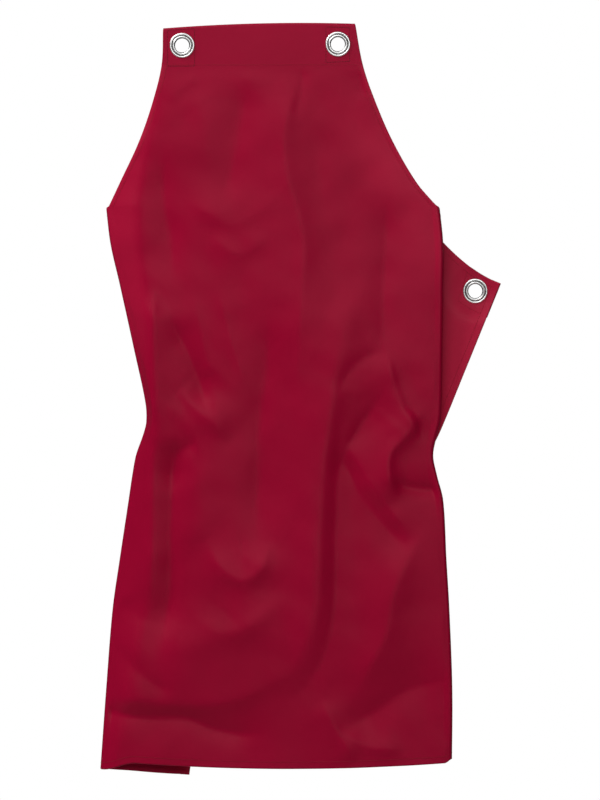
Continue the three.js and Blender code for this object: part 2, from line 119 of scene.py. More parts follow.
# Drape of the front: ridges (rise above 0) and valleys along ways of x, z points. left and right are the
# widths of the flanks seen along the way, at equal shares of it; crest is how round the top is.
FOLDS = (
    # name, rise, crest, left, right, way
    ("bib_centre", 6, 3, (22, 26), (46, 46), (
        (54, -36), (36, -73), (29, -115), (34, -163), (52, -235), (46, -360), (44, -480),
    )),
    ("bib_left_valley", -4.5, 7, (26, 24), (28, 22), (
        (-12, -36), (-24, -91), (-33, -146), (-48, -204),
    )),
    ("bib_left_ridge", 1.5, 6, (16, 18), (20, 20), ((-84, -52), (-68, -95), (-60, -156))),
    ("bib_side_valley", -5, 4, (18, 20), (28, 28), (
        (-116, -110), (-116, -185), (-108, -230), (-104, -300),
    )),
    ("bib_swag", 2, 2.5, (18, 18), (14, 14), ((-96, -182), (-56, -206), (-24, -214), (30, -174))),
    ("bib_swag_tail", 1.5, 2, (12, 12), (9, 9), ((-62, -228), (-24, -252), (10, -226))),
    ("bib_pull_left", 0.9, 1.5, (8, 8), (10, 10), ((-74, -36), (-92, -51), (-114, -70))),
    ("bib_pull_right", -1.2, 1.5, (6, 6), (6, 6), ((118, -28), (125, -66))),
    ("bib_right_valley", -4, 12, (70, 60, 30), (26, 24), (
        (66, -36), (70, -130), (82, -210), (90, -280), (94, -350),
    )),
    ("gather_valley", -1.4, 3, (6, 6), (6, 6), ((52, -20), (50, -50), (40, -92))),
    ("shoulder_fold", 8, 1.5, (4, 20, 34, 30, 22), (18, 18), (
        (-127, -288), (-129, -345), (-129, -410), (-129, -500),
    )),
    ("shoulder_edge", 4, 1.5, (20, 20), (16, 16), (
        (-129, -450), (-130, -520), (-131, -590), (-133, -680),
    )),
    ("waist_hollow", -7, 3, (8, 14, 16, 14), (10, 22, 26, 22), (
        (-114, -321), (-93, -357), (-78, -389), (-69, -418), (-58, -453),
    )),
    ("waist_leaf", -3.5, 2, (16, 18), (12, 14), (
        (-53, -388), (-66, -403), (-79, -416), (-92, -428), (-106, -439),
    )),
    ("waist_tip", -3.5, 2, (9, 11, 12), (14, 18, 18), (
        (-74, -476), (-86, -482), (-100, -493), (-106, -513), (-107, -547),
    )),
    ("waist_crease", 1.6, 3, (9, 9), (10, 10), ((-84, -284), (-68, -361), (-58, -415), (-41, -464))),
    ("waist_crease_low", 1.2, 2, (8, 8), (9, 9), ((-50, -290), (-36, -352), (-14, -420))),
    ("waist_pinch", 5, 5, (28, 20), (11, 11), ((-100, -414), (-72, -440), (-30, -476))),
    ("thigh_left_valley", -9, 4, (13, 13), (24, 24), (
        (-99, -470), (-103, -500), (-107, -570), (-108, -650), (-113, -692), (-122, -745),
    )),
    ("knee_swag", 2.5, 3, (20, 20), (18, 18), ((-92, -676), (-44, -706), (4, -684), (26, -650))),
    ("thigh_left_ridge", 2.5, 8, (30, 30), (16, 16), ((-84, -470), (-76, -530), (-80, -630))),
    ("knee_hook", -1.6, 3, (14, 14), (12, 12), ((-166, -664), (-148, -686), (-104, -698))),
    ("knee_crease", -2.5, 3, (8, 8), (14, 14), ((-180, -714), (-140, -758), (-100, -782))),
    ("knee_ridge", 5, 12, (26, 26), (28, 28), ((-128, -732), (-60, -718), (28, -678))),
    ("middle_valley", -7, 6, (34, 34), (18, 18), (
        (10, -300), (9, -385), (0, -450), (-3, -540), (-6, -630),
    )),
    ("thigh_swag", 6, 2.5, (22, 22), (16, 15, 11, 9), (
        (-66, -592), (-48, -626), (-22, -643), (2, -628), (14, -592),
    )),
    ("long_ridge", 10, 11, (8, 40, 40, 13, 11, 13, 15, 18, 24, 28), (45, 50, 50, 45, 36, 28), (
        (150, -210), (122, -290), (98, -357), (86, -420), (77, -490), (70, -580), (68, -655),
        (58, -712), (30, -756), (-28, -792),
    )),
    ("long_valley", -4, 2, (18, 18), (15, 16), (
        (97, -430), (93, -490), (91, -547), (90, -619), (88, -679), (78, -727), (58, -766), (30, -794),
    )),
    ("chest_crease", -5, 2, (45, 45), (22, 26), ((154, -170), (149, -280), (146, -392))),
    ("chest_hook", -3, 2, (8, 8), (14, 14), ((154, -364), (114, -385), (88, -424))),
    ("sweep_ridge", 5, 4, (12, 12), (40, 40), (
        (50, -744), (-30, -786), (-90, -792), (-140, -788), (-200, -782),
    )),
    ("hem_left_valley", -7.5, 1.5, (13, 16, 22), (20, 14), (
        (-262, -794), (-200, -799), (-144, -807), (-90, -808), (-58, -821), (-20, -828), (16, -824),
    )),
    ("hip_facet", 7.5, 2, (7, 6.5, 6.5, 7), (28, 28), (
        (204, -424), (181, -463), (169, -476), (157, -490), (154, -508), (158, -530), (168, -552),
    )),
    ("hip_tip", -5, 2, (34, 34), (9, 9), ((154, -412), (122, -456), (102, -492), (88, -524))),
    ("hip_valley", -3, 2, (10, 10), (7, 7), (
        (154, -376), (161, -409), (170, -433), (185, -445), (193, -463), (193, -481),
    )),
    ("waist_right", -6.5, 1.5, (9, 11), (12, 12), ((154, -523), (178, -531), (202, -534), (252, -534))),
    ("hip_hook", 6, 2, (7, 7), (16, 16), (
        (152, -366), (159, -402), (170, -434), (182, -450), (190, -474),
    )),
    ("hip_crease", -4, 4, (8, 12), (14, 18), (
        (92, -484), (112, -524), (130, -551), (156, -584), (182, -610),
    )),
    ("hip_fall", 4, 2, (26, 30), (9, 11), (
        (101, -475), (110, -490), (126, -515), (144, -543), (168, -574), (186, -595),
    )),
    ("thigh_right_ridge", 8, 4, (20, 26), (28, 28), (
        (206, -562), (172, -630), (158, -665), (152, -705), (134, -742), (98, -814),
    )),
    ("hem_right_valley", -6.5, 2, (24, 24), (32, 32), (
        (88, -834), (144, -797), (182, -773), (240, -760),
    )),
    ("hem_fold", 3.5, 2, (10, 10), (16, 16), ((72, -784), (94, -826), (118, -862))),
    ("hem_tip", 3, 2, (14, 14), (8, 8), ((96, -823), (130, -843), (176, -846))),
)
FOLD_FADE = 0.26  # share of a fold's way over which it rises from nothing at either end
FOLD_STEPS = 36
FLANK_ENDS = (2, 4)  # widths from its way between which a fold's flank is cut off
CRUMPLES, CRUMPLE_SEED, CRUMPLE_LENGTHS, CRUMPLE_HEIGHT = 9, 4, (34.0, 90.0), 0.55
CRUMPLE_ACROSS, CRUMPLE_ALONG, CRUMPLE_BEND, CRUMPLE_SHARP = 2.6, 3.1, 1.4, 0.96

# Grid of the panel: cells without the narrow ones along its edges, whose lines are given as distances
# from the edge, in shares of the hem's width
BAND_ROWS, BIB_ROWS, SKIRT_ROWS = 18, 44, 164
FRONT_CELLS, TURN_CELLS, FLAP_CELLS = 130, 6, 18
PLEAT_CELLS, VALLEY_CELLS, WING_CELLS = 5, 6, 18
EDGE_LINES = np.array((0, 0.12, 0.4, 0.72, 0.88, 0.97, 1.06, 1.2))

# Eyelets: radius and height of their sections, from the panel's middle surface along the axis
BIB_EYELETS = (("bib_left", -93.5, -1.0), ("bib_right", 93.5, 0.5))
SIDE_INSET, SIDE_BELOW = 24.0, 18.7
HOLE_CLEAR = 11.8  # cells of cloth nearer than this to an eyelet's axis are cut out
EYELET_SECTION = (
    (8.45, -3.9), (8.45, 0.2), (8.75, 1.4), (9.3, 2.2), (10.1, 2.62), (10.8, 2.5), (11.4, 1.9),
    (11.7, 1.1), (12.1, 0.8), (12.5, 1.3), (12.9, 2.0), (13.7, 2.25), (14.6, 1.95), (15.1, 1.2),
    (15.0, 0.72), (14.2, 0.68), (9.4, 0.68), (9.25, 0.3), (9.25, -3.3), (9.7, -3.55), (11.0, -3.6),
    (11.4, -4.0), (10.8, -4.45), (9.6, -4.45), (8.7, -4.2),
)
WASHER_SECTION = (
    (9.5, -2.25), (14.8, -2.25), (15.2, -2.5), (14.9, -2.95), (14.0, -3.25), (11.6, -3.4), (9.6, -3.3),
)
TURN_STEPS = 72
CORNER_CUT, CORNER_CUTS = 0.25, 2

# Painted shade on the metal: radius and width of the groove between bead and rim, the height that it lies
# above, and the radii over which the barrel turns from painted shade to bright
GROOVE, GROOVE_FOOT, BARREL = (12.05, 0.5), 0.7, (8.6, 9.5)

# Seams: thread length, pitch and thickness, its shape between its ends and the quads that close one, how
# the seam sinks into the cloth and how much painted shade darkens that groove, how far it keeps off edges,
# in cells of the band and in mm on the patches, and the boxes sewn round the bib's eyelets
STITCH_LENGTH, STITCH_PITCH, STITCH_RADIUS = 2.6, 3.0, 0.3
THREAD_PLACES, THREAD_THICK = (-1, -0.72, 0, 0.72, 1), (0.3, 0.9, 1, 0.9, 0.3)
THREAD_BOW, THREAD_SINK, THREAD_SIDES = 1.1, 0.75, 6
THREAD_CAP = ((3, 2, 1, 0), (5, 4, 3, 0))
SEAM_WIDTH, SEAM_SINK, SEAM_PAINTED_SHADE = 0.1, 0.06, 0.06
SEAM_STEPS, BOX_STEPS = 900, 400
BAND_SEAM_UP, BAND_SEAM_INSET, PATCH_SEAM = 0.6, 2, 2.0
LEFT_BOX = ((-111.3, 17.2), (-78.6, 19.2), (-78.6, -26.0), (-111.3, -26.0))
RIGHT_BOX = ((79.0, 21.0), (106.8, 20.2), (107.5, -20.3), (79.0, -21.5))
PATCH_DEEP, PATCH_WIDE = 49.0, 44.0

# Weave and dye: pitches of the twill in metres, shares of its parts and of the dye's noises
TWILL_ACROSS, TWILL_DOWN, PICK_PITCH = 0.0011, 0.0015, 0.0006
WALE_SHARE, PICK_SHARE, SOFT_SHARE, FINE_SHARE = 0.7, 0.3, 0.6, 0.4

# Colours, scene-linear
CLOTH_DARK = (0.345, 0.0009, 0.0275, 1)
CLOTH_LIGHT = (0.41, 0.0014, 0.034, 1)
# paler red for painted light, and for edge wear with a painted highlight along free edges
CLOTH_PAINTED_LIGHT_AND_WEAR = (0.5, 0.012, 0.05, 1)
THREAD_DARK = (0.3, 0.001, 0.018, 1)
THREAD_LIGHT = (0.38, 0.002, 0.026, 1)
# thread of the bib's eyelet boxes: painted darker as the shade of its sunken stitch line
BOX_THREAD_SHADE_DARK = (0.09, 0.0004, 0.005, 1)
BOX_THREAD_SHADE_LIGHT = (0.16, 0.001, 0.01, 1)
METAL = (0.95, 0.95, 0.94, 1)
# painted shade of the metal in its groove and down its barrel
METAL_PAINTED_SHADE = (0.06, 0.06, 0.055, 1)
FLOOR = (0.55, 0.55, 0.55, 1)
SKY, WHITE = (0.068, 0.068, 0.07, 1), (1, 1, 1, 1)

# Camera: one photograph pixel is PIXEL mm, and the frame is FRAME_HEIGHT pixels high
PIXEL, FRAME_HEIGHT = 1.2, 800
VIEW_CENTRE = (48.0, -426.6)
CAMERA_BACK, SENSOR, FAR_CLIP = 6.0, 36.0, 100.0

# Floor and lights in metres and watts, all lights turned to LIT
FLOOR_RADIUS, FLOOR_DROP, FLOOR_SIDES = 3.0, -1.6, 96
LIT = (0.03, 0.0, -0.4)
LIGHTS = (
    # name, place, size, power
    ("key_light", (-0.8, -1.8, 2.0), 1.4, 23),
    ("fill_light", (0.4, -3.0, 0.5), 1.4, 27),
    ("left_light", (-2.0, -0.7, 1.7), 1.2, 46),
    ("back_light", (1.2, 3.4, 1.6), 2.2, 70),
)


def smooth(value, start, end):
    """Smoothstep: 0 at start, 1 at end, cubic between."""
    t = np.clip((value - start) / (end - start), 0, 1)
    return t * t * (3 - 2 * t)


def mix(a, b, share):
    """Straight mix from a to b."""
    return a + (b - a) * share


def unit(v):
    """Vectors at length 1."""
    return v / np.maximum(np.linalg.norm(v, axis=-1, keepdims=True), TINY)


def column(table, index):
    """Smooth function of height through a table's rows: cubic Hermite pieces, and a row's slope is
    the difference across its two neighbours."""
    rows = np.array(table, float)
    z, value = rows[:, 0], rows[:, index]
    last = len(z) - 1
    above = np.maximum(np.arange(last + 1) - 1, 0)
    below = np.minimum(np.arange(last + 1) + 1, last)
    slope = (value[below] - value[above]) / (z[below] - z[above])

    def at(height):
        i = np.clip(np.searchsorted(-z, -np.asarray(height)) - 1, 0, last - 1)
        step = z[i + 1] - z[i]
        t = np.clip((height - z[i]) / step, 0, 1)
        s = 1 - t
        ends = value[i] * s * s * (1 + 2 * t) + value[i + 1] * t * t * (1 + 2 * s)
        return ends + step * (slope[i] * s * s * t - slope[i + 1] * s * t * t)

    return at


bib = {name: column(BIB_EDGES, i) for i, name in enumerate(BIB_COLUMNS) if i}
side = {name: column(SIDE_FOLDS, i) for i, name in enumerate(SIDE_COLUMNS) if i}


def front_span(z):
    """The front's left and right end, left shoulder and lean at a height. Below FOLD_TOP the ends are
    where the silhouette turns begin: the table's silhouette less what the turn stands out."""
    upper = np.asarray(z) >= FOLD_TOP
    left, right, shoulder, lean = (
        np.where(upper, bib[n](z), side[n](z)) for n in ("left", "right", "shoulder", "lean")
    )
    lean = np.radians(lean)
    left = left + np.where(upper, 0, TURN_RADIUS * (1 - np.sin(lean)))
    right = right - np.where(upper, 0, TURN_RADIUS * (1 - math.sin(STRIP_LEAN)))
    return left, right, shoulder, lean


def spline(points, steps):
    """Points at equal shares along a Catmull-Rom curve through the given ones."""
    p = np.array(points, float)
    p = np.vstack([2 * p[:1] - p[1:2], p, 2 * p[-1:] - p[-2:-1]])
    t = np.linspace(0, len(points) - 1, steps + 1)
    i = np.minimum(t.astype(int), len(points) - 2)
    t = (t - i)[:, None]
    a, b, c, d = (p[i + k] for k in range(4))
    return 0.5 * (2 * b + (c - a) * t + (2 * a - 5 * b + 4 * c - d) * t**2 + (3 * b - a - 3 * c + d) * t**3)


def crumple(x, z):
    """Small creases left by folding: CRUMPLES waves in seeded directions, each 2/pi asin(CRUMPLE_SHARP sin),
    so that it rises and falls in nearly straight facets, on a phase bent by a slower wave across it, times
    a patch of slower waves and a height that grows with its length."""
    rng = np.random.default_rng(CRUMPLE_SEED)
    total = np.zeros(x.shape)
    for _ in range(CRUMPLES):
        way, phase, bend = rng.uniform(0, 2 * np.pi, 3)
        length = rng.uniform(*CRUMPLE_LENGTHS)
        along, across = x * np.cos(way) + z * np.sin(way), z * np.cos(way) - x * np.sin(way)
        patch = np.sin(across * 2 * np.pi / (CRUMPLE_ACROSS * length) + bend)
        patch = patch * np.sin(along / (CRUMPLE_ALONG * length) + phase)
        bent = CRUMPLE_BEND * np.sin(across / length + bend)
        wave = np.arcsin(CRUMPLE_SHARP * np.sin(along * 2 * np.pi / length + phase + bent)) * 2 / np.pi
        total += CRUMPLE_HEIGHT * length / CRUMPLE_LENGTHS[1] * patch * wave
    return total


def fold_rise(x, z):
    """Sum of the folds at points of the front. One fold is its rise, times exp(-(sqrt(d^2+c^2)-c)/w) of the
    distance d from its way with the crest c and a width w of its own on either side, cut off softly
    between FLANK_ENDS of it, times a smooth fade at both ends of its way."""
    total = np.zeros(x.shape)
    for _, rise, crest, left, right, way in FOLDS:
        points = spline(way, FOLD_STEPS)
        reach = FLANK_ENDS[1] * max(left + right)
        near = (x > points[:, 0].min() - reach) & (x < points[:, 0].max() + reach)
        near &= (z > points[:, 1].min() - reach) & (z < points[:, 1].max() + reach)
        along = np.diff(points, axis=0)
        off = np.stack([x[near], z[near]], -1)[:, None] - points[:-1]
        t = np.clip((off * along).sum(-1) / (along**2).sum(-1), 0, 1)
        off = off - t[..., None] * along
        k = (off**2).sum(-1).argmin(1)
        each = np.arange(len(k))
        off, along, share = off[each, k], along[k], (k + t[each, k]) / FOLD_STEPS
        on_left = along[:, 0] * off[:, 1] - along[:, 1] * off[:, 0] > 0
        widths = [np.interp(share, np.linspace(0, 1, len(row)), row) for row in (left, right)]
        width = np.where(on_left, *widths)
        away = np.linalg.norm(off, axis=-1)
        flank = np.exp((crest - np.hypot(away, crest)) / width)
        flank = flank * (1 - smooth(away / width, *FLANK_ENDS))
        total[near] += rise * smooth(share, 0, FOLD_FADE) * smooth(1 - share, 0, FOLD_FADE) * flank
    return total + crumple(x, z)


def hinge(distance):
    """Soft bend: nothing well inside it, the plain distance well past it."""
    return (distance + np.hypot(distance, SHOULDER_BLEND)) / 2


def front_depth(x, z, folds=True):
    """Depth of the front: its two leaning sides, less a bulge across its width and the folds. Both
    fade out on the band at the top, and the folds near the front's ends."""
    left, right, shoulder, lean = front_span(z)
    middle = (2 * x - left - right) / (right - left)
    depth = np.tan(lean) * hinge(shoulder - x) - CENTRE_BULGE * (1 - middle**2)
    depth = depth + math.tan(STRIP_SLOPE) * hinge(x - right + STRIP_WIDTH)
    depth = depth * smooth(BAND_FOOT - z, 0, BAND_BLEND)
    if folds:
        margin = smooth(np.minimum(x - left, right - x), 0, FOLD_MARGIN)
        depth = depth - margin * smooth(BAND_FOOT - z, 0, FOLD_BLEND) * fold_rise(x, z)
    return depth


def left_point(d, z):
    """Left flap at a distance d along the cloth past the front's end: round the silhouette turn, then
    straight behind the front, drifting away from it."""
    left, _, _, lean = front_span(z)
    arc = TURN_RADIUS * (np.pi - lean)
    turned = lean + np.minimum(d, arc) / TURN_RADIUS
    past = np.maximum(0, d - arc)
    tilt = np.radians(side["tilt"](z))
    x = left + past * np.cos(tilt) - TURN_RADIUS * (np.sin(turned) - np.sin(lean))
    y = front_depth(left, z, False) + past * FLAP_DRIFT + TURN_RADIUS * (np.cos(lean) - np.cos(turned))
    return np.stack([x, y, z + past * np.sin(tilt)], -1)


RIGHT_ARC = TURN_RADIUS * (math.pi - STRIP_LEAN)
STRIP_DROP = (math.tan(STRIP_LEAN) - math.tan(STRIP_SLOPE)) * hinge(STRIP_WIDTH)
VALLEY_ARC = math.pi * PLEAT_RADIUS
VALLEY_AXIS = np.array((-PLEAT_SLANT, 0, -1)) / math.hypot(PLEAT_SLANT, 1)
INWARDS, BACKWARDS = np.array((-1.0, 0, 0)), np.array((0, 1.0, 0))
VALLEY_ALONG = VALLEY_AXIS * (VALLEY_AXIS @ INWARDS)
VALLEY_ACROSS = INWARDS - VALLEY_ALONG
VALLEY_BACK = np.cross(VALLEY_AXIS, INWARDS)


def pleat_run(z):
    """Straight run between the right silhouette and the hidden fold: longer going down, up to a limit."""
    slack = PLEAT_MOST - PLEAT_AT_TOP + TURN_RADIUS + PLEAT_RADIUS
    return PLEAT_MOST - hinge(slack - PLEAT_SLANT * (FOLD_TOP - z))


def right_point(d, z):
    """Right flap at a distance d past the front's end: round the silhouette turn, inwards to the hidden
    fold, round that and out again as the wing. The hidden fold opens further down."""
    _, right, _, _ = front_span(z)
    turned = STRIP_LEAN + np.minimum(d, RIGHT_ARC) / TURN_RADIUS
    run = pleat_run(z)
    x = right + TURN_RADIUS * (np.sin(turned) - math.sin(STRIP_LEAN)) - np.clip(d - RIGHT_ARC, 0, run)
    y = front_depth(right, z, False) + TURN_RADIUS * (math.cos(STRIP_LEAN) - np.cos(turned))
    y = y + STRIP_DROP * np.minimum(d / RIGHT_ARC, 1)
    past = np.maximum(0, d - RIGHT_ARC - run)
    opened = smooth(-z, -PLEAT_OPENS[0], -PLEAT_OPENS[1])
    bend = np.pi * np.maximum(LEAST_BEND, 1 - opened) / VALLEY_ARC
    angle = bend * np.minimum(past, VALLEY_ARC)
    straight = np.maximum(0, past - VALLEY_ARC)
    across = np.sin(angle) / bend + straight * np.cos(angle)
    back = (1 - np.cos(angle)) / bend + straight * np.sin(angle)
    ways = ((past, VALLEY_ALONG), (across, VALLEY_ACROSS), (back, VALLEY_BACK))
    return np.stack([x, y, z], -1) + sum(distance[..., None] * way for distance, way in ways)


def top_edge(x):
    """Top of the bib: a shallow arch, a little lower at the left."""
    return BIB_TOP + TOP_TILT * x - TOP_SAG * x * x


def hem_edge(x):
    """Bottom edge: lowest at its middle, with a dip at the left fold and a small rise at the right one."""
    dip = LEFT_DIP * smooth(SIDE_FOLDS[-1][1] + LEFT_DIP_WIDTH - x, 0, LEFT_DIP_WIDTH)
    rise = RIGHT_RISE * smooth(x - SIDE_FOLDS[-1][2] + RIGHT_RISE_WIDTH, 0, RIGHT_RISE_WIDTH)
    return HEM + HEM_CURVE * (x - HEM_MIDDLE) ** 2 - dip + rise


def seat(point, d, z):
    """Place of an eyelet: a point of the middle surface, and the surface's normal there by differences."""
    d, z = np.array(float(d)), np.array(float(z))
    along = point(d + 1, z) - point(d - 1, z)
    up = point(d, z + 1) - point(d, z - 1)
    return point(d, z), unit(np.cross(along, up))


def band_point(x, z):
    """The flat band at the top as a point in space."""
    return np.stack([x, np.zeros_like(x), z], -1)


SIDE_LEVEL = FOLD_TOP - CORNER_DROP - SIDE_BELOW
seats = {name: seat(band_point, x, z) for name, x, z in BIB_EYELETS}
seats["side_right"] = seat(right_point, RIGHT_FLAP - SIDE_INSET, SIDE_LEVEL)
left_at, left_normal = seat(left_point, side["flap"](SIDE_LEVEL) - SIDE_INSET, SIDE_LEVEL)
seats["side_left"] = (left_at, -left_normal)


def flatten(p):
    """Presses the left flap flat round its eyelet: full within SEAT_FLAT of it, fading over SEAT_BLEND."""
    at, normal = seats["side_left"]
    off = p - at
    share = 1 - smooth(np.linalg.norm(off, axis=-1), SEAT_FLAT, SEAT_FLAT + SEAT_BLEND)
    return p - (share * (off @ normal))[..., None] * normal


def lift(p, d, start):
    """Bends the wing's free edge forwards: by WING_LIFT times the WING_POWER-th power of the share from the
    hidden fold to the edge, less round the eyelet, where the cloth stays flat, and none further down."""
    share = np.clip((d - start) / (RIGHT_FLAP - start), 0, 1) ** WING_POWER
    share = share * smooth(np.linalg.norm(p - seats["side_right"][0], axis=-1), WING_FLAT, WING_CURL)
    return p - (WING_LIFT * share * (1 - smooth(-p[..., 2], *WING_ENDS)))[..., None] * BACKWARDS


def flap_folds(p, d, start, share):
    """Soft upright folds of a flap, bulging away from the front: FLAP_RISE times half of 1 plus a sine of
    the distance along the cloth, its phase drifting with the height, growing from nothing at a start."""
    wave = (1 + np.sin(2 * np.pi * d / FLAP_WAVE + p[..., 2] / FLAP_DRAG)) / 2
    rise = FLAP_RISE * share * smooth(d, start, start + FLAP_GROWS) * wave
    return p + rise[..., None] * BACKWARDS


def shares(count):
    """Equal shares of a stretch, without its start."""
    return np.linspace(0, 1, count + 1)[1:]


# Rows of the grid
band_share = np.linspace(0, 1, BAND_ROWS + 1)[:-1]
bib_share = np.linspace(0, 1, BIB_ROWS + 1)[:-1]
edge_rows = EDGE_LINES * HEM_WIDTH / (FOLD_TOP - HEM)
skirt = np.r_[edge_rows[:-1], np.linspace(edge_rows[-1], 1 - edge_rows[-1], SKIRT_ROWS)]
skirt = np.r_[skirt, 1 - edge_rows[-2::-1]][:, None]
UPPER = BAND_ROWS + BIB_ROWS
level = np.r_[mix(BIB_TOP, BAND_FOOT, band_share), mix(BAND_FOOT, FOLD_TOP, bib_share)]
level = np.r_[level, mix(FOLD_TOP, HEM, skirt[:, 0])][:, None]


def front_grid():
    """Front of the panel: rows at the levels above, columns from edge to edge; the top rows follow the
    top edge and the skirt's rows spread down to the hem."""
    left, right, _, _ = front_span(level)
    width = right - left
    lines = EDGE_LINES * BIB_HEM
    inner = lines[-1] + (width - 2 * lines[-1]) * shares(FRONT_CELLS)[:-1]
    away = np.concatenate([lines * np.ones_like(level), inner, width - lines[::-1]], 1)
    x = left + away
    z = level * np.ones_like(x)
    z[:BAND_ROWS] = mix(top_edge(x[:BAND_ROWS]), BAND_FOOT, band_share[:, None])
    z[UPPER:] = mix(FOLD_TOP, hem_edge(x[UPPER:]), skirt)
    return np.stack([x, front_depth(x, z), z], -1), np.minimum(away, width - away)


def flap_grid(point, step, length, end):
    """A flap: rows from its top edge, which drops towards the corner, to the hem's height at its fold;
    columns at distances along the cloth."""
    drop = CORNER_DROP * (1 - (1 - step(level[UPPER:]) / length(level[UPPER:])) ** 2)
    z = mix(FOLD_TOP - drop, hem_edge(np.array(float(end))), skirt)
    d = step(z)
    return point(d, z), d, length(z) - d


LAST_LINE = EDGE_LINES[-1] * HEM_WIDTH
HEM_LINES = EDGE_LINES[:-1][::-1] * HEM_WIDTH


def left_step(z):
    """Columns of the left flap: shares of the turn, then of the straight flap, then the hem's lines."""
    arc = TURN_RADIUS * (np.pi - front_span(z)[3])
    turn, flap = shares(TURN_CELLS), shares(FLAP_CELLS)
    none, hem = np.zeros(TURN_CELLS), np.zeros(len(HEM_LINES))
    of_arc = np.r_[turn, 1 - flap, hem]
    of_length = np.r_[none, flap, hem + 1]
    inset = np.r_[none, flap * LAST_LINE, HEM_LINES]
    return of_arc * arc + of_length * side["flap"](z) - inset


def right_length(z):
    """Length of the right flap, the same at every height."""
    return np.full_like(z, RIGHT_FLAP)


def right_step(z):
    """Columns of the right flap: shares of the turn, the run, the hidden fold and the wing, then the
    hem's lines."""
    base = RIGHT_ARC + VALLEY_ARC
    turn, valley, wing = shares(TURN_CELLS), shares(VALLEY_CELLS), shares(WING_CELLS)
    fixed = [turn * RIGHT_ARC, np.full(PLEAT_CELLS, RIGHT_ARC), RIGHT_ARC + valley * VALLEY_ARC]
    fixed += [base + wing * (RIGHT_FLAP - base - LAST_LINE), RIGHT_FLAP - HEM_LINES]
    of_run = [np.zeros(TURN_CELLS), shares(PLEAT_CELLS), np.ones(VALLEY_CELLS)]
    of_run += [1 - wing, np.zeros(len(HEM_LINES))]
    return np.concatenate(fixed) + np.concatenate(of_run) * pleat_run(z)


front, bib_away = front_grid()
left_flap, left_d, left_away = flap_grid(left_point, left_step, side["flap"], SIDE_FOLDS[-1][1])
left_flap = flatten(flap_folds(left_flap, left_d, np.pi * TURN_RADIUS, 1.0))
right_flap, right_d, right_away = flap_grid(right_point, right_step, right_length, SIDE_FOLDS[-1][2])
wing_start = RIGHT_ARC + VALLEY_ARC + pleat_run(right_flap[..., 2])
right_flap = flap_folds(right_flap, right_d, wing_start, smooth(-right_flap[..., 2], *WING_ENDS))
right_flap = lift(right_flap, right_d, wing_start)
LEFT, FRONT, RIGHT = left_flap.shape[1], front.shape[1], right_flap.shape[1]
ROWS, COLUMNS = front.shape[0], LEFT + FRONT + RIGHT
LEFT_PART, FRONT_PART = slice(0, LEFT), slice(LEFT, LEFT + FRONT)
RIGHT_PART = slice(LEFT + FRONT, COLUMNS)

grid = np.full((ROWS, COLUMNS, 3), np.nan)
grid[:, FRONT_PART] = front
grid[UPPER:, LEFT_PART] = left_flap[:, ::-1]
grid[UPPER:, RIGHT_PART] = right_flap

# Distance from the nearest cut edge, in shares of the hem's width
hem_share = np.full((ROWS, COLUMNS), FAR)
skirt_up = (1 - skirt) * (FOLD_TOP - HEM) / HEM_WIDTH
skirt_down = skirt * (FOLD_TOP - HEM) / HEM_WIDTH
hem_share[UPPER:] = np.minimum(hem_share[UPPER:], skirt_up)
hem_share[BAND_ROWS:UPPER, FRONT_PART] = bib_away[BAND_ROWS:UPPER] / BIB_HEM
left_share = np.minimum(left_away / HEM_WIDTH, skirt_down)[:, ::-1]
right_share = np.minimum(right_away / HEM_WIDTH, skirt_down)
hem_share[UPPER:, LEFT_PART] = np.minimum(hem_share[UPPER:, LEFT_PART], left_share)
hem_share[UPPER:, RIGHT_PART] = np.minimum(hem_share[UPPER:, RIGHT_PART], right_share)

# Flat coordinates of the cut, for the weave: along the rows from the middle, and down
flat_u = np.zeros((ROWS, COLUMNS))
row_steps = np.linalg.norm(np.diff(front, axis=1), axis=-1)
along_row = np.concatenate([np.zeros((ROWS, 1)), np.cumsum(row_steps, 1)], 1)
flat_u[:, FRONT_PART] = along_row - along_row[:, FRONT // 2 : FRONT // 2 + 1]
flat_u[UPPER:, LEFT_PART] = (flat_u[UPPER:, LEFT : LEFT + 1] - left_d)[:, ::-1]
flat_u[UPPER:, RIGHT_PART] = flat_u[UPPER:, LEFT + FRONT - 1 : LEFT + FRONT] + right_d
flat_v = np.repeat(-level, COLUMNS, 1)
flat = np.stack([flat_u, flat_v], -1) * MM


def neighbour(a, rows, columns):
    """The grid moved by whole rows and columns, with the point itself where there is no neighbour."""
    pad = np.pad(a, ((1, 1), (1, 1), (0, 0)), constant_values=np.nan)
    moved = pad[1 + rows : 1 + rows + a.shape[0], 1 + columns : 1 + columns + a.shape[1]]
    return np.where(np.isnan(moved), a, moved)


def grid_normals(a):
    """Outer side of the cloth at each grid point: cross product of the way down and the way across."""
    across = neighbour(a, 0, 1) - neighbour(a, 0, -1)
    down = neighbour(a, 1, 0) - neighbour(a, -1, 0)
    return unit(np.cross(down, across))


normals = grid_normals(grid)


def add_mesh(name, points, faces, material, uv=None, masks=()):
    """One smooth mesh from points in millimetres and quads, with flat coordinates and masks if given."""
    mesh = bpy.data.meshes.new(name)
    mesh.from_pydata(points * MM, [], faces)
    mesh.polygons.foreach_set("use_smooth", np.ones(len(mesh.polygons), bool))
    if uv is not None:
        corners = np.empty(len(mesh.loops), np.int32)
        mesh.loops.foreach_get("vertex_index", corners)
        mesh.uv_layers.new(name="cut").data.foreach_set("uv", uv[corners].ravel())
    for mask, values in masks:
        mesh.attributes.new(mask, "FLOAT", "POINT").data.foreach_set("value", values)
    mesh.validate()
    mesh.materials.append(material)
    piece = bpy.data.objects.new(name, mesh)
    bpy.context.scene.collection.objects.link(piece)
    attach(piece, "root")
    return piece


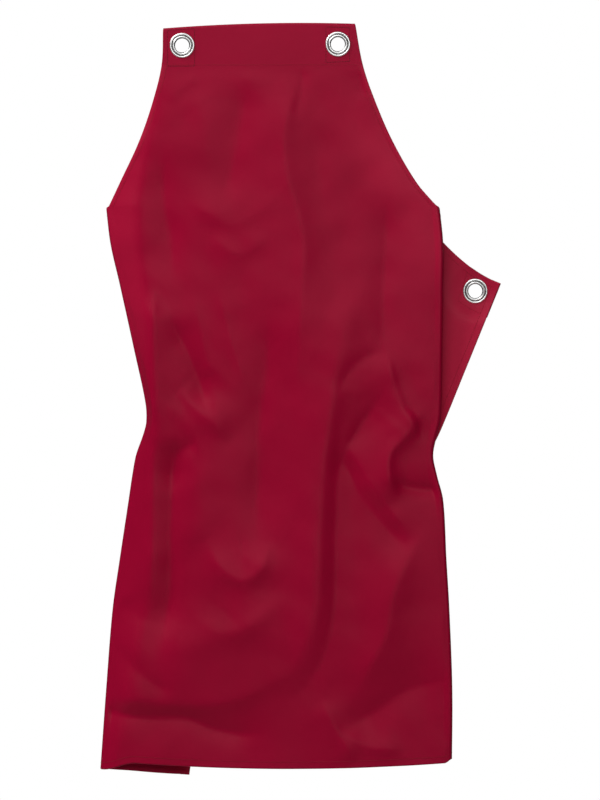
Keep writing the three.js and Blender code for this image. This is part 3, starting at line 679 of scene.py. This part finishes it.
def kept_cells(rows, columns):
    """Mask of the grid cells between the given rows and columns that lie on cloth and clear of the
    eyelets' holes."""
    keep = np.zeros((ROWS - 1, COLUMNS - 1), bool)
    keep[rows, columns] = True
    centre = (grid[:-1, :-1] + grid[1:, :-1] + grid[:-1, 1:] + grid[1:, 1:]) / 4
    keep &= ~np.isnan(centre[..., 0])
    for at, _ in seats.values():
        keep &= ~(np.linalg.norm(centre - at, axis=-1) < HOLE_CLEAR)
    return keep


def cloth_wall(name, keep, outer, inner, material, masks):
    """Closed wall over the kept cells: each grid point is carried by outer and by inner along its normal,
    and at open sides a line midway between them, pushed out by EDGE_ROUND, rounds the edge."""
    count = ROWS * COLUMNS
    centre = np.where(keep[..., None], (grid[:-1, :-1] + grid[1:, 1:]) / 2, 0)
    total, number = np.zeros((ROWS, COLUMNS, 3)), np.zeros((ROWS, COLUMNS, 1))
    for r in (0, 1):
        for c in (0, 1):
            total[r : ROWS - 1 + r, c : COLUMNS - 1 + c] += centre
            number[r : ROWS - 1 + r, c : COLUMNS - 1 + c, 0] += keep
    outwards = grid - total / np.maximum(number, 1)
    outwards = unit(outwards - (outwards * normals).sum(-1, keepdims=True) * normals)
    middle = grid + normals * ((outer + inner) / 2)[..., None] + EDGE_ROUND * outwards
    faces_at = [grid + normals * outer[..., None], grid + normals * inner[..., None], middle]
    points = np.concatenate([p.reshape(-1, 3) for p in faces_at])
    r, c = np.nonzero(keep)
    ring = [(r, c), (r + 1, c), (r + 1, c + 1), (r, c + 1)]
    ring = [a * COLUMNS + b for a, b in ring]
    quads = [np.stack(ring, 1), np.stack([ring[k] + count for k in (0, 3, 2, 1)], 1)]
    padded = np.pad(keep, 1)
    beside = [(r + 1, c), (r + 2, c + 1), (r + 1, c + 2), (r, c + 1)]
    for k, (a, b) in enumerate(beside):
        bare = ~padded[a, b]
        start, stop = ring[k][bare], ring[(k + 1) % 4][bare]
        quads.append(np.stack([stop, start, start + 2 * count, stop + 2 * count], 1))
        quads.append(np.stack([stop + 2 * count, start + 2 * count, start + count, stop + count], 1))
    used, faces = np.unique(np.concatenate(quads), return_inverse=True)
    place = used % count
    uv = flat.reshape(-1, 2)[place]
    masks = [(mask, values.reshape(-1)[place]) for mask, values in masks]
    return add_mesh(name, points[used], faces.reshape(-1, 4), material, uv, masks)


def turned(name, section, at, normal, material):
    """Turned ring: the section, softened by cutting its corners, goes round the seat's normal. Its mask
    of painted shade is 1 in the groove and down the barrel."""
    ring = np.array(section)
    for _ in range(CORNER_CUTS):
        ahead = np.roll(ring, -1, 0)
        ring = np.stack([mix(ring, ahead, CORNER_CUT), mix(ring, ahead, 1 - CORNER_CUT)], 1).reshape(-1, 2)
    n = len(ring)
    x_axis = unit(np.cross((0.0, 0.0, 1.0), normal))
    y_axis = np.cross(normal, x_axis)
    angle = np.linspace(0, 2 * np.pi, TURN_STEPS, endpoint=False)[:, None, None]
    radius, height = ring[None, :, :1], ring[None, :, 1:]
    points = at + radius * (np.cos(angle) * x_axis + np.sin(angle) * y_axis) + height * normal
    a, k = np.meshgrid(np.arange(TURN_STEPS), np.arange(n), indexing="ij")
    b, m = (a + 1) % TURN_STEPS, (k + 1) % n
    quads = np.stack([a * n + k, a * n + m, b * n + m, b * n + k], -1).reshape(-1, 4)
    # painted shade: 1 in the groove and down the barrel
    groove = np.exp(-(((ring[:, 0] - GROOVE[0]) / GROOVE[1]) ** 2)) * (ring[:, 1] > GROOVE_FOOT)
    barrel = 1 - smooth(ring[:, 0], *BARREL)
    metal_shade = np.tile(np.clip(groove + barrel, 0, 1), TURN_STEPS)
    masks = [("metal_shade", metal_shade)]
    return add_mesh(name, points.reshape(-1, 3), quads[:, ::-1], material, masks=masks)


def grid_line(rows, columns):
    """Points and normals of the cloth's outer face along fractional rows and columns, by bilinear mix."""
    rows, columns = np.broadcast_arrays(np.asarray(rows, float), np.asarray(columns, float))
    i = np.clip(rows.astype(int), 0, ROWS - 2)
    j = np.clip(columns.astype(int), 0, COLUMNS - 2)
    s, t = (rows - i)[:, None], (columns - j)[:, None]
    out = []
    for a in (grid + normals * CLOTH / 2, normals):
        out.append(mix(mix(a[i, j], a[i, j + 1], t), mix(a[i + 1, j], a[i + 1, j + 1], t), s))
    return out[0], unit(out[1])


def band_line(corners):
    """Points and normals along straight lines through x, z corners of the flat band, closed."""
    c = np.array(corners + corners[:1], float)
    t = np.linspace(0, len(c) - 1, BOX_STEPS)
    x, z = np.interp(t, np.arange(len(c)), c[:, 0]), np.interp(t, np.arange(len(c)), c[:, 1])
    normal = np.tile(-BACKWARDS, (len(t), 1))
    return band_point(x, z) + normal * CLOTH / 2, normal


def on_line(values, length, at):
    """Points or normals of a line at given lengths along it, by straight mixes."""
    return np.stack([np.interp(at, length, values[:, k]) for k in range(3)], 1)


def stitches(name, lines, material):
    """Seams as one mesh: along each line a thread every STITCH_PITCH, a six-sided capsule that bows out
    of the cloth between its two sunken ends by a parabola."""
    centres, ways, outs = [], [], []
    for points, normal in lines:
        length = np.r_[0, np.cumsum(np.linalg.norm(np.diff(points, axis=0), axis=1))]
        at = np.arange(STITCH_PITCH / 2, length[-1], STITCH_PITCH)
        start, end = (on_line(points, length, at + s * STITCH_LENGTH / 2) for s in (-1, 1))
        centres.append(on_line(points, length, at))
        ways.append(unit(end - start))
        outs.append(unit(on_line(normal, length, at)))
    centre, way, out = (np.concatenate(a)[:, None] for a in (centres, ways, outs))
    aside = np.cross(way, out)
    place, thick = np.array(THREAD_PLACES), np.array(THREAD_THICK) * STITCH_RADIUS
    bow = STITCH_RADIUS * (THREAD_BOW * (1 - place**2) - THREAD_SINK)
    angle = np.arange(THREAD_SIDES) * 2 * np.pi / THREAD_SIDES
    along = np.repeat(place * STITCH_LENGTH / 2, THREAD_SIDES)[:, None]
    sideways = np.outer(thick, np.cos(angle)).reshape(-1, 1)
    up = (np.outer(thick, np.sin(angle)) + bow[:, None]).reshape(-1, 1)
    points = centre + along * way + sideways * aside + up * out
    s, k = np.meshgrid(np.arange(len(place) - 1), np.arange(THREAD_SIDES), indexing="ij")
    near, beside = s * THREAD_SIDES + k, s * THREAD_SIDES + (k + 1) % THREAD_SIDES
    shell = np.stack([near, beside, beside + THREAD_SIDES, near + THREAD_SIDES], -1).reshape(-1, 4)
    cap = np.array(THREAD_CAP)
    one = np.concatenate([shell, cap, cap[:, ::-1] + len(up) - THREAD_SIDES])
    faces = (np.arange(len(centre)) * len(up))[:, None, None] + one
    return add_mesh(name, points.reshape(-1, 3), faces.reshape(-1, 4), material)


def fill(tree, socket, value):
    """Sets a socket's value, or links another node's output to it."""
    if isinstance(value, bpy.types.NodeSocket):
        tree.links.new(value, socket)
    else:
        socket.default_value = value


def put(tree, kind, sockets=None, **settings):
    """Adds a node with settings; sockets gives its inputs as values or as other nodes' outputs."""
    node = tree.nodes.new(kind)
    for key, value in settings.items():
        setattr(node, key, value)
    for key, value in (sockets or {}).items():
        fill(tree, node.inputs[key], value)
    return node


def maths(tree, operation, *values):
    """Output of a math node."""
    return put(tree, "ShaderNodeMath", dict(enumerate(values)), operation=operation).outputs[0]


def blend(tree, share, first, second):
    """Output of a colour mix: its sockets 6 and 7 are the colours at share 0 and at share 1."""
    return put(tree, "ShaderNodeMix", {0: share, 6: first, 7: second}, data_type="RGBA").outputs[2]


def noise(tree, place, **sockets):
    """Output of a noise over a place, with its sockets' values."""
    return put(tree, "ShaderNodeTexNoise", {"Vector": place, **sockets}).outputs["Fac"]


def tone_group():
    """Node group: uneven dyeing and fibres, as one tone from 0 to 1, from soft and fine noise."""
    tree = bpy.data.node_groups.new("dye_tone", "ShaderNodeTree")
    tree.interface.new_socket("Vector", in_out="INPUT", socket_type="NodeSocketVector")
    tree.interface.new_socket("Tone", in_out="OUTPUT", socket_type="NodeSocketFloat")
    place = put(tree, "NodeGroupInput").outputs["Vector"]
    soft = noise(tree, place, Scale=11, Detail=3)
    fine = noise(tree, place, Scale=900, Detail=2)
    soft, fine = maths(tree, "MULTIPLY", soft, SOFT_SHARE), maths(tree, "MULTIPLY", fine, FINE_SHARE)
    put(tree, "NodeGroupOutput", {"Tone": maths(tree, "ADD", soft, fine)})
    return tree


def twill_height(tree, cut):
    """Height of the twill: slanting wales, a sine of both cut coordinates, broken by the weft's picks, a
    finer sine down the cloth."""
    parts = put(tree, "ShaderNodeSeparateXYZ", {0: cut})
    across = maths(tree, "MULTIPLY", parts.outputs[0], 2 * math.pi / TWILL_ACROSS)
    down = maths(tree, "MULTIPLY", parts.outputs[1], 2 * math.pi / TWILL_DOWN)
    wale = maths(tree, "SINE", maths(tree, "ADD", across, down))
    pick = maths(tree, "SINE", maths(tree, "MULTIPLY", parts.outputs[1], 2 * math.pi / PICK_PITCH))
    wale, pick = maths(tree, "MULTIPLY", wale, WALE_SHARE), maths(tree, "MULTIPLY", pick, PICK_SHARE)
    return maths(tree, "ADD", wale, pick)


def new_material(name):
    """Empty node material with its shader and output."""
    material = bpy.data.materials.new(name)
    material.use_nodes = True
    tree = material.node_tree
    tree.nodes.clear()
    shader = put(tree, "ShaderNodeBsdfPrincipled")
    put(tree, "ShaderNodeOutputMaterial", {"Surface": shader.outputs[0]})
    return material, tree, shader


def set_shader(tree, shader, **values):
    """Sets or links the shader's own sockets; an underscore stands for a space."""
    for key, value in values.items():
        fill(tree, shader.inputs[key.replace("_", " ")], value)


tones = tone_group()


def cloth_material():
    """Dyed cotton twill: tone between two reds, with painted shade in the seam grooves and paler where
    painted light brightens it or its edges are worn, the weave and loose fibres in the bump."""
    material, tree, shader = new_material("red_twill")
    cut = put(tree, "ShaderNodeUVMap", uv_map="cut").outputs[0]
    tone = put(tree, "ShaderNodeGroup", {"Vector": cut}, node_tree=tones).outputs["Tone"]
    # painted shade: the cloth's tone darkened along the seam groove
    seam_shade = put(tree, "ShaderNodeAttribute", attribute_name="seam_shade").outputs["Fac"]
    share = maths(tree, "SUBTRACT", tone, maths(tree, "MULTIPLY", seam_shade, SEAM_PAINTED_SHADE))
    ramp = {"Value": share, "From Min": 0.25, "From Max": 0.75}
    share = put(tree, "ShaderNodeMapRange", ramp).outputs["Result"]
    # painted light, and edge wear with a painted highlight along free edges: the cloth pales towards the
    # third red
    light_and_wear = put(tree, "ShaderNodeAttribute", attribute_name="light_and_wear").outputs["Fac"]
    colour = blend(tree, light_and_wear, blend(tree, share, CLOTH_DARK, CLOTH_LIGHT), CLOTH_PAINTED_LIGHT_AND_WEAR)
    height = maths(tree, "ADD", twill_height(tree, cut), noise(tree, cut, Scale=2600, Detail=1))
    bump = put(tree, "ShaderNodeBump", {"Height": height, "Strength": 0.35, "Distance": 0.00012})
    rough = {"Value": tone, "To Min": 0.44, "To Max": 0.34}
    rough = put(tree, "ShaderNodeMapRange", rough).outputs["Result"]
    set_shader(tree, shader, Base_Color=colour, Normal=bump.outputs[0])
    set_shader(tree, shader, Roughness=rough, Specular_IOR_Level=0.09)
    return material


def thread_material(name, dark, light):
    """Sewing thread: tone between two reds, twisted strands in the bump."""
    material, tree, shader = new_material(name)
    place = put(tree, "ShaderNodeTexCoord").outputs["Object"]
    tone = put(tree, "ShaderNodeGroup", {"Vector": place}, node_tree=tones).outputs["Tone"]
    twist = noise(tree, place, Scale=4200, Detail=1)
    bump = put(tree, "ShaderNodeBump", {"Height": twist, "Strength": 0.3, "Distance": 0.0001})
    set_shader(tree, shader, Base_Color=blend(tree, tone, dark, light), Normal=bump.outputs[0])
    set_shader(tree, shader, Roughness=0.6, Specular_IOR_Level=0.3)
    return material


def metal_material():
    """Bright plated eyelet metal, painted dark as shade in its groove and down its barrel: handling marks
    vary its roughness, faint dents its normal."""
    material, tree, shader = new_material("plated_metal")
    place = put(tree, "ShaderNodeTexCoord").outputs["Object"]
    marks = noise(tree, place, Scale=420, Detail=4)
    rough = {"Value": marks, "From Min": 0.3, "From Max": 0.75, "To Min": 0.3, "To Max": 0.4}
    rough = put(tree, "ShaderNodeMapRange", rough).outputs["Result"]
    dents = noise(tree, place, Scale=240, Detail=1)
    bump = put(tree, "ShaderNodeBump", {"Height": dents, "Strength": 0.03, "Distance": 0.0004})
    # painted shade: groove and barrel darkened in the metal's colour
    shade_share = put(tree, "ShaderNodeAttribute", attribute_name="metal_shade").outputs["Fac"]
    colour = blend(tree, shade_share, METAL, METAL_PAINTED_SHADE)
    set_shader(tree, shader, Base_Color=colour, Normal=bump.outputs[0], Roughness=rough, Metallic=1.0)
    return material


def floor_material():
    """Plain pale studio floor, barely uneven in its roughness."""
    material, tree, shader = new_material("studio_floor")
    place = put(tree, "ShaderNodeTexCoord").outputs["Object"]
    rough = {"Value": noise(tree, place, Scale=2), "To Min": 0.75, "To Max": 0.85}
    rough = put(tree, "ShaderNodeMapRange", rough).outputs["Result"]
    set_shader(tree, shader, Base_Color=FLOOR, Roughness=rough)
    return material


cloth, metal = cloth_material(), metal_material()
thread = thread_material("red_thread", THREAD_DARK, THREAD_LIGHT)
# the boxes' thread, darkened as painted shade of the stitch groove
shaded_box_thread = thread_material("box_thread_painted_shade", BOX_THREAD_SHADE_DARK, BOX_THREAD_SHADE_LIGHT)


def painted_light_place(off, share, across, begins, ends):
    """Place of painted light on the front, paler: its share, smoothed over distances off a line and over
    depths.
    """
    return share * smooth(off, *across) * smooth(-level, *begins) * (1 - smooth(-level, *ends))


# Pieces of cloth
# seam line: sinks the cloth into a groove, and darkens it as painted shade in the colour
seam_mask = np.exp(-(((hem_share - STITCH_SHARE) / SEAM_WIDTH) ** 2))
_, front_right, front_shoulder, _ = front_span(level)
# painted light: the left strip by the shoulder and the right end of the chest made paler
front_light_and_wear = painted_light_place(front_shoulder - front[..., 0], *STRIP_PAINTED_LIGHT)
front_light_and_wear = np.maximum(front_light_and_wear, painted_light_place(front[..., 0] - front_right, *CHEST_PAINTED_LIGHT))
# along the bib's cut edges: edge wear with a painted highlight
bib_edge_highlight_and_wear = EDGE_HIGHLIGHT_AND_WEAR * (1 - smooth(bib_away[BAND_ROWS:UPPER] / BIB_HEM, 0, EDGE_HIGHLIGHT_AND_WEAR_WIDTH))
front_light_and_wear[BAND_ROWS:UPPER] = np.maximum(front_light_and_wear[BAND_ROWS:UPPER], bib_edge_highlight_and_wear)
light_and_wear_mask = np.zeros((ROWS, COLUMNS))
light_and_wear_mask[:, FRONT_PART] = front_light_and_wear
# left flap: paler along its edges, edge wear with a painted highlight
light_and_wear_mask[UPPER:, LEFT_PART] = 1 - smooth(left_share, 0, 1)
# wing: painted light, paler towards its free edge
wing_painted_light = smooth(right_d - wing_start, 0, WING_PAINTED_LIGHT) * (1 - smooth(-level[UPPER:], *WING_ENDS))
light_and_wear_mask[UPPER:, RIGHT_PART] = wing_painted_light
deep = skirt_down * HEM_WIDTH
on_left = np.zeros((ROWS, COLUMNS), bool)
on_left[UPPER:, LEFT_PART] = (deep <= PATCH_DEEP) & (left_away <= PATCH_WIDE)[:, ::-1]
on_right = np.zeros((ROWS, COLUMNS), bool)
on_right[UPPER:, RIGHT_PART] = (deep <= PATCH_DEEP) & (right_away <= PATCH_WIDE)
doubled = (hem_share < 1) & ~on_left & ~on_right
outer = CLOTH / 2 - SEAM_SINK * seam_mask
inner = np.where(doubled, -CLOTH / 2 - HEM_TURN, -CLOTH / 2)
everywhere = (slice(None), slice(None))
panel_masks = [("seam_shade", seam_mask), ("light_and_wear", light_and_wear_mask)]
panel = cloth_wall("panel_cloth", kept_cells(*everywhere), outer, inner, cloth, panel_masks)
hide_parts("panel")

behind = np.full((ROWS, COLUMNS), -CLOTH / 2 - GAP)
facing_cells = kept_cells(slice(0, BAND_ROWS), slice(LEFT, LEFT + FRONT - 1))
facing = cloth_wall("bib_facing_cloth", facing_cells, behind, behind - CLOTH, cloth, ())
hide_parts("bib_facing")
for name, on in (("side_patch_left", on_left), ("side_patch_right", on_right)):
    cells = kept_cells(*everywhere) & on[:-1, :-1] & on[1:, :-1] & on[:-1, 1:] & on[1:, 1:]
    cloth_wall(name + "_cloth", cells, behind, behind - CLOTH, cloth, ())
    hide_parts(name)

# Metal
for name, (at, normal) in seats.items():
    ring = turned("eyelet_" + name + "_metal", EYELET_SECTION, at, normal, metal)
    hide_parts("eyelet_" + name)
    back = turned("washer_" + name + "_metal", WASHER_SECTION, at, normal, metal)
    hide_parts("washer_" + name)


def run(start, end):
    """Even places from one row or column of the grid to another."""
    return np.linspace(start, end, SEAM_STEPS)


# Seams
hem_row = np.interp(-STITCH_SHARE, -skirt_up[:, 0], np.arange(UPPER, ROWS))
top_row = np.interp(STITCH_SHARE, skirt_down[:, 0], np.arange(UPPER, ROWS))
edge_column = np.interp(STITCH_SHARE, EDGE_LINES, np.arange(len(EDGE_LINES)))
patch_row = np.interp(PATCH_DEEP - PATCH_SEAM, deep[:, 0], np.arange(UPPER, ROWS))
left_patch = np.interp(PATCH_WIDE - PATCH_SEAM, left_away[0, ::-1], np.arange(LEFT))
last, front_end = COLUMNS - 1, LEFT + FRONT - 1
right_patch = last - np.interp(PATCH_WIDE - PATCH_SEAM, right_away[0, ::-1], np.arange(RIGHT))
seams = [
    grid_line(hem_row, run(edge_column, last - edge_column)),
    grid_line(run(top_row, hem_row), edge_column),
    grid_line(run(top_row, hem_row), last - edge_column),
    grid_line(top_row, run(edge_column, LEFT)),
    grid_line(top_row, run(front_end, last - edge_column)),
    grid_line(run(BAND_ROWS, UPPER), LEFT + edge_column),
    grid_line(run(BAND_ROWS, UPPER), front_end - edge_column),
    grid_line(patch_row, run(edge_column, left_patch)),
    grid_line(run(top_row, patch_row), left_patch),
    grid_line(patch_row, run(right_patch, last - edge_column)),
    grid_line(run(top_row, patch_row), right_patch),
    grid_line(BAND_ROWS - BAND_SEAM_UP, run(LEFT + BAND_SEAM_INSET, front_end - BAND_SEAM_INSET)),
]
seam_pieces = [
    stitches("hem_stitching", seams, thread),
    stitches("bib_stitching", [band_line(LEFT_BOX), band_line(RIGHT_BOX)], shaded_box_thread),
]

# Floor, lights and camera
turn = np.linspace(0, 2 * np.pi, FLOOR_SIDES, endpoint=False)
disc = [FLOOR_RADIUS * np.cos(turn), FLOOR_RADIUS * np.sin(turn), np.full(FLOOR_SIDES, FLOOR_DROP)]
floor_mesh = bpy.data.meshes.new("floor")
floor_mesh.from_pydata(np.stack(disc, 1), [], [list(range(FLOOR_SIDES))])
floor_mesh.materials.append(floor_material())
floor = bpy.data.objects.new("floor", floor_mesh)
bpy.context.scene.collection.objects.link(floor)


def add_light(name, place, target, size, power):
    """Square soft light at a place, turned to a target."""
    lamp = bpy.data.lights.new(name, "AREA")
    lamp.size, lamp.energy = size, power
    light = bpy.data.objects.new(name, lamp)
    light.location = place
    back = np.array(place) - np.array(target)
    level_out = math.hypot(back[0], back[1])
    light.rotation_euler = (math.atan2(level_out, back[2]), 0, math.atan2(back[0], -back[1]))
    bpy.context.scene.collection.objects.link(light)


for name, place, size, power in LIGHTS:
    add_light(name, place, LIT, size, power)

world = bpy.data.worlds.new("studio")
world.use_nodes = True
bpy.context.scene.world = world
sky = world.node_tree
sky.nodes.clear()
seen = put(sky, "ShaderNodeLightPath").outputs["Is Camera Ray"]
backdrop = put(sky, "ShaderNodeBackground", {"Color": blend(sky, seen, SKY, WHITE)})
put(sky, "ShaderNodeOutputWorld", {"Surface": backdrop.outputs[0]})
bpy.context.scene.view_settings.view_transform = "Standard"

lens = bpy.data.cameras.new("camera")
lens.sensor_width = SENSOR
lens.lens = SENSOR * CAMERA_BACK / (FRAME_HEIGHT * PIXEL * MM)
lens.clip_end = FAR_CLIP
camera = bpy.data.objects.new("camera", lens)
camera.location = (VIEW_CENTRE[0] * MM, -CAMERA_BACK, VIEW_CENTRE[1] * MM)
camera.rotation_euler = (math.pi / 2, 0, 0)
bpy.context.scene.collection.objects.link(camera)
bpy.context.scene.camera = camera
